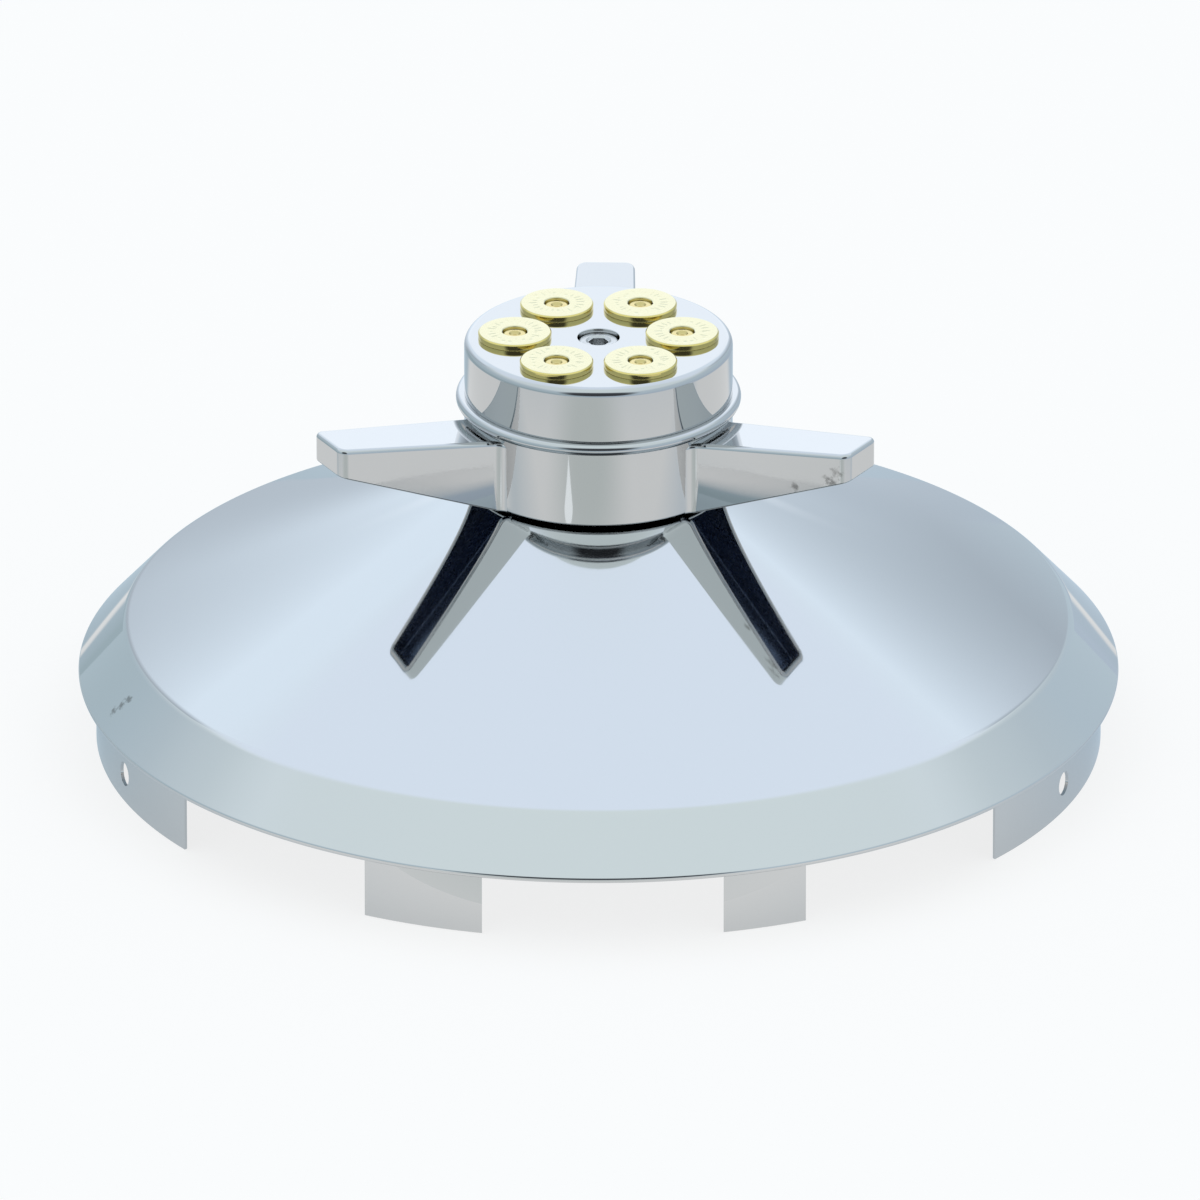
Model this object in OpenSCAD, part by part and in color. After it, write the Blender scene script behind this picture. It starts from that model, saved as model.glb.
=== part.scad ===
// Spinner hubcap: a pressed sheet cap with a slotted lip, and a three-bar spinner that
// turns on a spindle through the cap's peak. Six cartridge case heads sit in its top cap.
// Millimetres. The axis is at x = y = 0, +Z points away from the wheel, and z = 0 is the
// lower edge of the lip's tabs. Angles are counted from +X, so the front is at 270.

/* [Cap shell] */
// Inside diameter of the lip that grips the wheel hub
lip_bore_d = 215.9; // [205:0.1:230]
// Thickness of the pressed sheet
sheet_t = 0.7; // [0.6:0.05:0.9]
// Height of the lip, from the tabs' lower edge to the hem
lip_h = 14.4; // [11:0.1:20]
// Outside radius of the bend between the lip and the hem
lip_bend_r = 0.4; // [0.3:0.1:0.8]
// How far the hem stands out past the lip
hem_reach = 3.75; // [3:0.05:6]
// Gap left inside the folded hem
hem_gap = 0.24; // [0.2:0.02:0.4]
// Width of the steep band, along the radius
band_w = 10.2; // [8:0.1:13]
// Height of the steep band
band_h = 11.5; // [9:0.1:14]
// Rise of the dome from the band to the seat
dome_rise = 41.3; // [35:0.1:46]
// How far the dome bulges from a straight cone, or hollows where it is negative
dome_bow = -1.8; // [-2.4:0.1:0.6]
// Diameter of the flat seat at the dome's peak
seat_d = 24; // [24:0.5:30]

/* [Lip slots] */
// Angle that each slot takes out of the lip
slot_angle = 27.4; // [22:0.2:28]
// Radius of the slots' upper corners
slot_corner_r = 1; // [0.5:0.1:2]
// Collar of lip left between the slots and the bend
slot_collar = 0.1; // [0.1:0.1:2]
// Direction of the left slot
slot_left_angle = 229; // [227:0.5:232]
// Direction of the middle slot
slot_mid_angle = 270.5; // [269:0.5:272]
// Direction of the right slot
slot_right_angle = 307.7; // [306:0.5:312]
// Diameter of the round holes in the wide tabs
hole_d = 5.3; // [4:0.1:7]
// Height of the round holes' centres
hole_z = 6.4; // [5:0.1:7]
// Direction of the round hole in the left tab
hole_left_angle = 200.2; // [195:0.5:205]
// Direction of the round hole in the right tab
hole_right_angle = 337; // [333:0.5:342]

/* [Spinner] */
// Diameter of the spinner's hub
hub_d = 57.8; // [54:0.2:62]
// Thickness of the hub's wall
hub_wall = 2; // [1.6:0.1:3]
// Running gap between the hub's lower edge and the dome
run_gap = 1.4; // [0.8:0.1:2]
// Thickness of the deck under the top cap
deck_t = 3; // [2.5:0.1:4]
// Height of the boss between the spindle's flange and the deck
boss_h = 1.8; // [1.5:0.1:4]
// Diameter of the boss
boss_d = 20; // [19:0.5:24]
// Thickness of the round bead under the top cap
bead_t = 2.6; // [2:0.1:3]
// How far the bead stands out past the hub
bead_out = 1.8; // [1.4:0.1:2.2]
// Direction of the rear bar
bar_angle = 88.6; // [70:0.2:110]
// Length of a bar from the axis to its tip
bar_reach = 66.3; // [60:0.1:80]
// Width of a bar at its root
bar_root_w = 15; // [13:0.1:18]
// Width of a bar at its tip
bar_tip_w = 12.7; // [10:0.1:14]
// Height of a bar's tip
bar_tip_h = 6.4; // [5:0.1:9]
// Rise of a bar's top face from root to tip
bar_rise = 5.3; // [3:0.1:8]
// Depth of a bar's root below the bead
bar_drop = 0.9; // [0.5:0.1:2]
// Radius of a bar's tip corners
bar_corner_r = 2.2; // [1.8:0.1:3]
// Wall left round the pocket under a bar
bar_wall = 1.3; // [1:0.1:1.8]

/* [Top cap] */
// Height of the top cap's face above the deck
cap_h = 15; // [13:0.1:18]
// Step from the top cap's side in to its spigot
spigot_step = 1.5; // [1:0.1:3]
// Radius of the top cap's upper edge
cap_edge_r = 1.8; // [1:0.1:2.5]
// Depth of the screw head below the face
head_sink = 0.8; // [0.4:0.1:2]

/* [Case heads] */
// Distance of the case heads from the axis
case_pitch_r = 18; // [17:0.1:19]
// Diameter of a case head's rim
rim_d = 15.8; // [14:0.1:16]
// Height of a case head's rim
rim_h = 1.4; // [1:0.1:2]
// Diameter of a case's body
case_d = 12.8; // [11.5:0.1:13]
// Length of a case's body below its rim
case_len = 9; // [7:0.5:10]
// Thickness of a case's wall
case_wall = 1.2; // [0.8:0.1:1.5]
// Thickness of a case's web, rim included
case_web = 5.5; // [5:0.1:6.5]
// Diameter of a primer
primer_d = 5.3; // [4.4:0.1:5.4]
// Depth of a primer's pocket
pocket_h = 3.2; // [2.8:0.1:3.6]
// Depth of a primer's face below the head
primer_sink = 0.2; // [0.1:0.05:0.4]
// Diameter of the flash hole under a primer
flash_d = 2; // [1.6:0.1:2.4]
// Radius of the firing pin's dent
dent_r = 1.2; // [0.8:0.1:1.6]
// Depth of the firing pin's dent
dent_h = 0.5; // [0.2:0.1:0.7]

/* [Spindle] */
// Diameter of the spindle in its bush
spindle_d = 12; // [11:0.1:12.4]
// Diameter of the spindle's flange
spindle_flange_d = 19; // [17:0.5:20]
// Thickness of the spindle's flange
spindle_flange_t = 2.5; // [2:0.1:4]
// Diameter of the spindle's upper spigot
spindle_top_d = 10; // [9:0.1:10.5]
// Diameter of the spindle's threaded lower end
spindle_end_d = 8; // [7:0.1:8.5]
// Wall of the flanged bush
bush_wall = 2; // [1.6:0.1:2.2]
// Diameter of the bush's flange
bush_flange_d = 21; // [20:0.5:23]
// Thickness of the bush's flange
bush_flange_t = 1.5; // [1:0.1:2.5]
// Thickness of the thrust washer
thrust_t = 0.8; // [0.6:0.1:1.5]
// Thickness of the backing washer under the seat
backing_t = 2; // [1.5:0.1:3]
// Margin of the seat round the backing washer
backing_margin = 0.6; // [0.3:0.1:1]
// Size across flats of the bush's nut
bush_nut_af = 22; // [20:0.5:23]
// Height of the bush's nut
bush_nut_h = 4; // [3:0.5:6]
// Diameter of the spindle's washer
spindle_washer_d = 18; // [17:0.5:20]
// Thickness of the spindle's washer
spindle_washer_t = 1.2; // [1:0.1:2]
// Size across flats of the spindle's lock nut
lock_nut_af = 13; // [12:0.5:15]
// Height of the spindle's lock nut
lock_nut_h = 6; // [5:0.5:8]

/* [Centre screw] */
// Diameter of the centre screw's thread
screw_d = 5; // [4:0.1:5.4]
// Diameter of the centre screw's head
head_d = 8.5; // [8:0.1:9]
// Height of the centre screw's head
head_h = 5; // [4:0.1:6]
// Length of the centre screw under its head
screw_len = 20; // [16:1:22]
// Size across flats of the hexagon socket
socket_af = 4; // [3:0.5:5]
// Depth of the hexagon socket
socket_h = 2.5; // [2:0.1:3]

/* [Clearances] */
// Radial clearance of the spindle in its bush
run_clear = 0.05; // [0.02:0.01:0.1]
// Radial clearance of parts that seat in each other
seat_clear = 0.05; // [0.02:0.01:0.1]
// Radial clearance of washers and screw holes
hole_clear = 0.25; // [0.15:0.05:0.4]
// End play of the spindle
end_play = 0.1; // [0.05:0.05:0.3]
// How far a threaded end stands out of its nut
thread_proud = 0.8; // [0.4:0.1:1.5]
// Space left past the end of a part in a blind bore
blind_gap = 0.5; // [0.3:0.1:1]

/* [Hidden] */
CASE_COUNT = 6;
CASES = [1 : CASE_COUNT];
$fn = 96;

// A cut runs this far past the faces that it opens
past = 1;
// Straight steps that a round profile is drawn with
arc_steps = 6;
dome_steps = 20;

// Cap shell, from the lip up
lip_out_r = lip_bore_d / 2 + sheet_t;
fold_r = sheet_t + hem_gap / 2;
rim_r = lip_out_r + hem_reach;
rim_z = lip_h + fold_r;
band_slope = atan2(band_h, band_w);
band_top_r = rim_r - band_w;
band_top_z = rim_z + band_h;
seat_r = seat_d / 2;
seat_z = band_top_z + dome_rise;
slot_half = slot_angle / 2;
slot_top_z = lip_h - lip_bend_r - slot_collar;
slot_angles = [slot_left_angle, slot_mid_angle, slot_right_angle];
hole_angles = [hole_left_angle, hole_right_angle];
// The hidden half of the lip repeats the half that shows
half_turns = [0, 180];

// Spindle stack, from the seat up
spindle_r = spindle_d / 2;
bush_in_r = spindle_r + run_clear;
bush_out_r = bush_in_r + bush_wall;
bush_top_z = seat_z + bush_flange_t;
flange_z = bush_top_z + thrust_t;
boss_z = flange_z + spindle_flange_t;
deck_z = boss_z + boss_h;
floor_z = deck_z + deck_t;

// Spindle stack, from the seat down
backing_z = seat_z - sheet_t - backing_t;
bush_nut_z = backing_z - bush_nut_h;
bush_end_z = bush_nut_z - thread_proud;
shoulder_z = bush_end_z - end_play;
washer_z = shoulder_z - spindle_washer_t;
lock_nut_z = washer_z - lock_nut_h;
spindle_end_z = lock_nut_z - thread_proud;

// Spinner
hub_r = hub_d / 2;
spigot_r = hub_r - spigot_step;
bead_r = bead_t / 2;
bead_mid_r = hub_r + bead_out - bead_r;
bead_mid_z = floor_z + bead_r;
land_z = floor_z + bead_t;
hub_z = dome_z(hub_r) + run_gap;
bar_root_z = floor_z - bar_drop;
bar_tip_z = bar_root_z + bar_rise;
bar_under_z = bar_tip_z - bar_tip_h;
bar_angles = [bar_angle, bar_angle + 120, bar_angle + 240];

// Top cap and centre screw
face_z = floor_z + cap_h;
head_z = face_z - head_sink - head_h;
screw_end_z = head_z - screw_len;
head_hole_r = head_d / 2 + hole_clear;

// Case heads
case_out_r = case_d / 2;
bore_r = case_out_r + seat_clear;
case_end_z = face_z - case_len;
bore_z = case_end_z - blind_gap;
case_top_z = face_z + rim_h;
web_z = case_top_z - case_web;
pocket_r = primer_d / 2 + seat_clear;
pocket_z = case_top_z - pocket_h;

// Height of the dome's outer face at a distance r from the axis
function dome_t(r) = (r - seat_r) / (band_top_r - seat_r);
function dome_z(r) = seat_z - dome_rise * dome_t(r) + 4 * dome_bow * dome_t(r) * (1 - dome_t(r));

// Points on an arc about c, from angle a to angle b
function arc(c, r, a, b, steps) = [
    for (i = [0 : steps]) let (t = a + (b - a) * i / steps) c + r * [cos(t), sin(t)]
];

// The same path, moved by t to its right
function unit(v) = v / norm(v);
function right(v) = [v[1], -v[0]];
function moved(p, t) = [
    for (i = [0 : len(p) - 1])
        let (
            a = right(unit(p[max(i, 1)] - p[max(i, 1) - 1])),
            b = right(unit(p[min(i, len(p) - 2) + 1] - p[min(i, len(p) - 2)]))
        )
        p[i] + t * (a + b) / (1 + a * b)
];
function reversed(p) = [for (i = [len(p) - 1 : -1 : 0]) p[i]];

// Outer face of the sheet, from the hole in the seat down to the lip's lower edge
sheet_path = concat(
    [[bush_out_r + hole_clear, seat_z]],
    [
        for (i = [0 : dome_steps])
            let (r = seat_r + (band_top_r - seat_r) * i / dome_steps) [r, dome_z(r)]
    ],
    arc([rim_r - fold_r, rim_z], fold_r, 90 - band_slope, -90, arc_steps),
    arc([lip_out_r + lip_bend_r, lip_h - lip_bend_r], lip_bend_r, 90, 180, arc_steps),
    [[lip_out_r, 0]]
);

// A ring between two radii, from z low to z high
module ring(out_r, in_r, low, high) {
    difference() {
        translate([0, 0, low])
            cylinder(r = out_r, h = high - low);
        translate([0, 0, low - past])
            cylinder(r = in_r, h = high - low + 2 * past);
    }
}

// A hexagon nut with a round bore
module nut(af, in_r, low, high) {
    difference() {
        translate([0, 0, low])
            cylinder(d = af / cos(30), h = high - low, $fn = 6);
        translate([0, 0, low - past])
            cylinder(r = in_r, h = high - low + 2 * past);
    }
}

// Punch for one slot with rounded upper corners, about +X
module lip_slot() {
    half_w = lip_out_r * sin(slot_half);
    near = lip_bore_d / 2 * cos(slot_half) - past;
    corner = [half_w - slot_corner_r, slot_top_z - slot_corner_r];
    translate([near, 0, 0])
        rotate([90, 0, 90])
            linear_extrude(lip_out_r + past - near)
                polygon(concat(
                    [[-half_w, -past], [half_w, -past]],
                    arc(corner, slot_corner_r, 0, 90, arc_steps),
                    arc([-corner[0], corner[1]], slot_corner_r, 90, 180, arc_steps)
                ));
}

module cap_shell() {
    color("lightsteelblue")
        difference() {
            rotate_extrude()
                polygon(concat(sheet_path, reversed(moved(sheet_path, sheet_t))));
            for (turn = half_turns) {
                for (a = slot_angles)
                    rotate([0, 0, a + turn])
                        lip_slot();
                for (a = hole_angles)
                    rotate([0, 0, a + turn])
                        translate([lip_bore_d / 2 - past, 0, hole_z])
                            rotate([0, 90, 0])
                                cylinder(d = hole_d, h = sheet_t + 2 * past);
            }
        }
}

// Bush that lines the hole in the seat
module flange_bush() {
    color("darkgoldenrod")
        difference() {
            union() {
                translate([0, 0, seat_z])
                    cylinder(d = bush_flange_d, h = bush_flange_t);
                translate([0, 0, bush_end_z])
                    cylinder(r = bush_out_r, h = seat_z - bush_end_z);
            }
            translate([0, 0, bush_end_z - past])
                cylinder(r = bush_in_r, h = bush_top_z - bush_end_z + 2 * past);
        }
}

module backing_washer() {
    color("gray")
        ring(seat_r - backing_margin, bush_out_r + hole_clear, backing_z, backing_z + backing_t);
}

module bush_nut() {
    color("gray")
        nut(bush_nut_af, bush_out_r + seat_clear, bush_nut_z, backing_z);
}

module thrust_washer() {
    color("dimgray")
        ring(spindle_flange_d / 2, spindle_r + hole_clear, bush_top_z, flange_z);
}

// Turned spindle: threaded end, running length, flange and tapped spigot
module spindle() {
    color("slategray")
        difference() {
            union() {
                translate([0, 0, spindle_end_z])
                    cylinder(d = spindle_end_d, h = shoulder_z - spindle_end_z);
                translate([0, 0, shoulder_z])
                    cylinder(d = spindle_d, h = flange_z - shoulder_z);
                translate([0, 0, flange_z])
                    cylinder(d = spindle_flange_d, h = spindle_flange_t);
                translate([0, 0, boss_z])
                    cylinder(d = spindle_top_d, h = floor_z - blind_gap - boss_z);
            }
            translate([0, 0, screw_end_z - blind_gap])
                cylinder(d = screw_d + 2 * seat_clear, h = floor_z - screw_end_z + blind_gap);
        }
}

module spindle_washer() {
    color("gray")
        ring(spindle_washer_d / 2, spindle_end_d / 2 + seat_clear, washer_z, shoulder_z);
}

module lock_nut() {
    color("gray")
        nut(lock_nut_af, spindle_end_d / 2 + seat_clear, lock_nut_z, washer_z);
}

// Plan of a bar along +X, drawn in by t on every side
module bar_plan(from_r, t) {
    corner_r = bar_corner_r - t;
    root_w = bar_root_w / 2 - t;
    tip_w = bar_tip_w / 2 - t;
    corner = [bar_reach - bar_corner_r, tip_w - corner_r];
    near = arc(corner, corner_r, 90, 0, arc_steps);
    polygon(concat(
        [[from_r, -root_w], [from_r, root_w]],
        near,
        reversed([for (p = near) [p[0], -p[1]]])
    ));
}

// A bar's side view, cut to its plan
module bar_solid(from_r, side, t) {
    intersection() {
        rotate([90, 0, 0])
            translate([0, 0, -bar_root_w])
                linear_extrude(2 * bar_root_w)
                    polygon(side);
        linear_extrude(2 * face_z)
            bar_plan(from_r, t);
    }
}

module bar() {
    inner_r = hub_r - hub_wall / 2;
    bar_solid(inner_r, [
        [inner_r, hub_z], [hub_r, hub_z], [bar_reach, bar_under_z],
        [bar_reach, bar_tip_z], [hub_r, bar_root_z], [inner_r, bar_root_z]
    ], 0);
}

// Hollow on the underside of a bar, open downwards
module bar_pocket() {
    bar_solid(hub_r, [
        [hub_r, 0], [bar_reach, 0],
        [bar_reach, bar_tip_z - bar_wall], [hub_r, bar_root_z - bar_wall]
    ], bar_wall);
}

// Cast hub with its bead, deck, boss and three hollow bars
module spinner_body() {
    color("silver")
        difference() {
            union() {
                rotate_extrude()
                    polygon([
                        [spindle_top_d / 2 + seat_clear, boss_z],
                        [boss_d / 2, boss_z],
                        [boss_d / 2, deck_z],
                        [hub_r - hub_wall, deck_z],
                        [hub_r - hub_wall, dome_z(hub_r - hub_wall) + run_gap],
                        [hub_r, hub_z],
                        [hub_r, floor_z],
                        [bead_mid_r, floor_z],
                        [bead_mid_r, land_z],
                        [spigot_r + seat_clear, land_z],
                        [spigot_r + seat_clear, floor_z],
                        [spindle_top_d / 2 + seat_clear, floor_z]
                    ]);
                rotate_extrude()
                    translate([bead_mid_r, bead_mid_z])
                        intersection() {
                            circle(r = bead_r);
                            translate([0, -bead_r])
                                square([bead_r, bead_t]);
                        }
                for (a = bar_angles)
                    rotate([0, 0, a])
                        bar();
            }
            for (a = bar_angles)
                rotate([0, 0, a])
                    bar_pocket();
        }
}

// Turned cap with a blind bore for each case and a counterbored screw hole
module top_cap() {
    edge_mid = [hub_r - cap_edge_r, face_z - cap_edge_r];
    color("gainsboro")
        difference() {
            rotate_extrude()
                polygon(concat(
                    [[0, face_z]],
                    arc(edge_mid, cap_edge_r, 90, 0, arc_steps),
                    [
                        [hub_r, land_z], [spigot_r, land_z],
                        [spigot_r, floor_z], [0, floor_z]
                    ]
                ));
            for (i = CASES)
                case_place(i)
                    translate([0, 0, bore_z])
                        cylinder(r = bore_r, h = face_z - bore_z + past);
            translate([0, 0, floor_z - past])
                cylinder(r = screw_d / 2 + hole_clear, h = cap_h + 2 * past);
            translate([0, 0, head_z])
                cylinder(r = head_hole_r, h = face_z - head_z + past);
        }
}

// Socket-head screw that holds the top cap and the spinner on the spindle
module centre_screw() {
    color("whitesmoke")
        difference() {
            union() {
                translate([0, 0, head_z])
                    cylinder(d = head_d, h = head_h);
                translate([0, 0, screw_end_z])
                    cylinder(d = screw_d, h = screw_len);
            }
            translate([0, 0, head_z + head_h - socket_h])
                cylinder(d = socket_af / cos(30), h = socket_h + past, $fn = 6);
        }
}

// Moves its child to the place of case head i, counted from the front
module case_place(i) {
    rotate([0, 0, 240 + (i - 1) * 360 / CASE_COUNT])
        translate([case_pitch_r, 0, 0])
            children();
}

// Brass case head: rim, short body, primer pocket and flash hole
module case_head() {
    color("khaki")
        difference() {
            union() {
                translate([0, 0, face_z])
                    cylinder(d = rim_d, h = rim_h);
                translate([0, 0, case_end_z])
                    cylinder(r = case_out_r, h = case_len);
            }
            translate([0, 0, pocket_z])
                cylinder(r = pocket_r, h = pocket_h + past);
            translate([0, 0, case_end_z - past])
                cylinder(r = case_out_r - case_wall, h = web_z - case_end_z + past);
            translate([0, 0, web_z - past])
                cylinder(d = flash_d, h = pocket_z - web_z + 2 * past);
        }
}

// Struck primer with a round dent in its face
module primer() {
    color("goldenrod")
        difference() {
            translate([0, 0, pocket_z])
                cylinder(d = primer_d, h = pocket_h - primer_sink);
            translate([0, 0, case_top_z - primer_sink + dent_r - dent_h])
                sphere(r = dent_r);
        }
}

cap_shell();
flange_bush();
backing_washer();
bush_nut();
thrust_washer();
spindle();
spindle_washer();
lock_nut();
spinner_body();
top_cap();
centre_screw();
for (i = CASES) {
    case_place(i) case_head();
    case_place(i) primer();
}
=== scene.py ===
# %% [markdown]
# # A spinner hubcap
# This is the hub cover of a truck's front wheel: a cone pressed from one steel sheet, chromed,
# with a slotted lip that snaps onto the wheel hub. A cast spinner with three bars turns on its
# peak, and its top cap is set with six brass cartridge case heads. Nearly all of it is
# mirror-bright, so the lesson is about clean curves: a mirror shows every fault in a mesh.
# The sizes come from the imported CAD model, and every piece stands where its CAD node stands.

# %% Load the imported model
import math
import random

import bmesh
import bpy
from mathutils import Matrix, Vector


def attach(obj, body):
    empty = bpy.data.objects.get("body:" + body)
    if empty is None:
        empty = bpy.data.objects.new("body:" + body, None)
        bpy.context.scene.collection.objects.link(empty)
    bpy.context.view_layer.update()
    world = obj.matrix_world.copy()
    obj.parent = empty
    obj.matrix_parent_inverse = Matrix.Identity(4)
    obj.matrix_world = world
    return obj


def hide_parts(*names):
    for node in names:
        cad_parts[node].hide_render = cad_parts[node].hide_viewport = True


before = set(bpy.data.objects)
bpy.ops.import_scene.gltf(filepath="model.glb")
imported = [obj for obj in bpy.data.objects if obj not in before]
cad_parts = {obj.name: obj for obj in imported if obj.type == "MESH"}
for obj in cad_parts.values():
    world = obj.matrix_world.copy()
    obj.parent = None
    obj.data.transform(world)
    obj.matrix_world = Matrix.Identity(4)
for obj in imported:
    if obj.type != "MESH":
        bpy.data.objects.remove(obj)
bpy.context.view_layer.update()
MM = 0.001

# %% [markdown]
# ## Profiles
# Almost every piece here was turned on a lathe or pressed over a round former, so it is one
# profile spun about an axis. A real edge is never quite sharp, and on chrome each little
# radius shows as a bright or dark line. So a profile is written as corners with a radius
# each, and one function rounds them.

# %% Arcs and rounded corners
def arc(centre, radius, start, end, steps):
    """Points on a circle from one angle to another, in degrees."""
    turns = [math.radians(start + (end - start) * i / steps) for i in range(steps + 1)]
    return [(centre[0] + radius * math.cos(t), centre[1] + radius * math.sin(t)) for t in turns]


def rounded(corners, steps=6):
    """A path through corners (x, y, radius), each rounded by its radius."""
    path = []
    for i, (x, y, radius) in enumerate(corners):
        corner = Vector((x, y))
        if not radius or i in (0, len(corners) - 1):
            path.append((x, y))
            continue
        before = (Vector(corners[i - 1][:2]) - corner).normalized()
        after = (Vector(corners[i + 1][:2]) - corner).normalized()
        half = before.angle(after) / 2
        centre = corner + (before + after).normalized() * radius / math.sin(half)
        first = corner + before * radius / math.tan(half) - centre
        last = corner + after * radius / math.tan(half) - centre
        sweep = first.angle_signed(last)
        for k in range(steps + 1):
            spoke = Matrix.Rotation(-sweep * k / steps, 2) @ first
            path.append(tuple(centre + spoke))
    return path


print("a square corner rounded:", len(rounded([(0, 0, 0), (1, 0, 0.2), (1, 1, 0)])), "points")

# %% [markdown]
# ## Meshes
# A turned mesh is the profile repeated round the axis. The profile of a solid runs round in a
# closed loop, so the mesh has no open edge. Points on the axis are merged into one.
# Everything is shaded smooth, with creases only where two faces meet at a real edge, and the
# normals are weighted by area. That keeps large flat faces flat right up to their small
# rounded edges, as polished metal is.

# %% Turning, cutting and finishing a mesh
SAME_POINT = 1e-7
CREASE = math.radians(32)
AREA_ONLY = 100


def turned(profile, steps=256, closed=True):
    """A mesh made by turning a profile of (r, z) in millimetres about the z axis."""
    mesh = bmesh.new()
    rings = []
    for k in range(steps):
        turn = 2 * math.pi * k / steps
        rings.append([
            mesh.verts.new((r * math.cos(turn) * MM, r * math.sin(turn) * MM, z * MM))
            for r, z in profile
        ])
    count = len(profile)
    for k in range(steps):
        near, far = rings[k], rings[(k + 1) % steps]
        for i in range(count if closed else count - 1):
            j = (i + 1) % count
            if profile[i][0] or profile[j][0]:
                mesh.faces.new((near[i], near[j], far[j], far[i]))
    bmesh.ops.remove_doubles(mesh, verts=mesh.verts, dist=SAME_POINT)
    bmesh.ops.recalc_face_normals(mesh, faces=mesh.faces)
    return mesh


def add_prism(mesh, outline, low, high, place):
    """Adds a straight prism with an outline of (x, y), between two heights, at a place."""
    ends = [[mesh.verts.new(place @ Vector((x * MM, y * MM, z * MM))) for x, y in outline]
            for z in (low, high)]
    mesh.faces.new(ends[0][::-1])
    mesh.faces.new(ends[1])
    for i in range(len(outline)):
        mesh.faces.new((ends[0][i - 1], ends[0][i], ends[1][i], ends[1][i - 1]))


def as_object(name, mesh):
    """A new object that holds a bmesh."""
    data = bpy.data.meshes.new(name)
    mesh.to_mesh(data)
    mesh.free()
    thing = bpy.data.objects.new(name, data)
    bpy.context.scene.collection.objects.link(thing)
    return thing


def cut(thing, cutter):
    """Takes the cutter's shape out of an object, and removes the cutter."""
    boolean = thing.modifiers.new("cut", "BOOLEAN")
    boolean.operation = "DIFFERENCE"
    boolean.solver = "EXACT"
    boolean.object = cutter
    result = bpy.data.meshes.new_from_object(
        thing.evaluated_get(bpy.context.evaluated_depsgraph_get()))
    thing.modifiers.clear()
    thing.data = result
    bpy.data.objects.remove(cutter)


def finish_piece(thing, body, nodes, finishes):
    """Shades a piece, gives it its finishes, ties it to its body and hides its CAD nodes."""
    data = thing.data
    # Clearing the slots also forgets which face has which finish
    chosen = [face.material_index for face in data.polygons]
    data.materials.clear()
    for finish in finishes:
        data.materials.append(finish)
    for face, index in zip(data.polygons, chosen):
        face.material_index = min(index, len(finishes) - 1)
    data.shade_smooth()
    edges = bmesh.new()
    edges.from_mesh(data)
    for edge in edges.edges:
        edge.smooth = len(edge.link_faces) != 2 or edge.calc_face_angle(0) < CREASE
    edges.to_mesh(data)
    edges.free()
    weigh = thing.modifiers.new("flat faces", "WEIGHTED_NORMAL")
    weigh.keep_sharp = True
    weigh.weight = AREA_ONLY
    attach(thing, body)
    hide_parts(*nodes)
    print(f"{thing.name}: {len(data.polygons)} faces")

# %% [markdown]
# ## Finishes
# Colours are written as a paint chart or an image editor gives them, in sRGB hex, and one
# function turns them into the linear values that light is added up in. One more function
# adds a shader node with its settings and its links.

# %% Colour and nodes
def linear(hex_colour):
    """An sRGB hex colour as linear red, green, blue and alpha."""
    shares = [int(hex_colour[i:i + 2], 16) / 255 for i in (1, 3, 5)]
    return [s / 12.92 if s <= 0.04045 else ((s + 0.055) / 1.055) ** 2.4 for s in shares] + [1]


def add(tree, kind, settings=None):
    """Adds a shader node. A setting is a value, a hex colour, or a node or socket to link."""
    made = tree.nodes.new(kind)
    for name, value in (settings or {}).items():
        if isinstance(value, bpy.types.Node):
            value = value.outputs[0]
        if isinstance(value, bpy.types.NodeSocket):
            tree.links.new(value, made.inputs[name])
        elif isinstance(value, str) and value.startswith("#"):
            made.inputs[name].default_value = linear(value)
        elif isinstance(name, str) and hasattr(made, name):
            setattr(made, name, value)
        else:
            made.inputs[name].default_value = value
    return made


def new_finish(name):
    """An empty material, its nodes, and its object coordinates in metres."""
    made = bpy.data.materials.new(name)
    made.use_nodes = True
    made.node_tree.nodes.clear()
    return made, made.node_tree, add(made.node_tree, "ShaderNodeTexCoord").outputs["Object"]


# Places of the sockets of a node that mixes colours
FACTOR, BELOW, ABOVE, MIXED = 0, 6, 7, 2


print("middle grey in linear light:", round(linear("#808080")[0], 3))

# %% [markdown]
# ## Bright chrome
# Chromium plate mirrors a little over half of the light, almost without a colour of its own.
# What tells a pressed sheet from a turned or a cast part is how true its mirror is. The
# press leaves long soft waves a few centimetres wide and microns deep, and wiping leaves
# faint smears, which only show as a change in how sharp the mirror is. In a few small spots
# the plate is pitted and dull: near one bar's tip, and in a short scuff on the band.

# %% Chrome for sheet, casting and turned parts
CHROMIUM = "#CFD0D0"
THIN_CHROMIUM = "#C6C7C7"
TARNISH = "#5F5B55"
SMEAR_MM = 25
FLECK_MM = 1.2
SPOT_EDGE, SPOT_MIDDLE = -0.5, 0.28
TARNISH_COVER = 0.6
TARNISH_ROUGHNESS = 0.2


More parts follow.
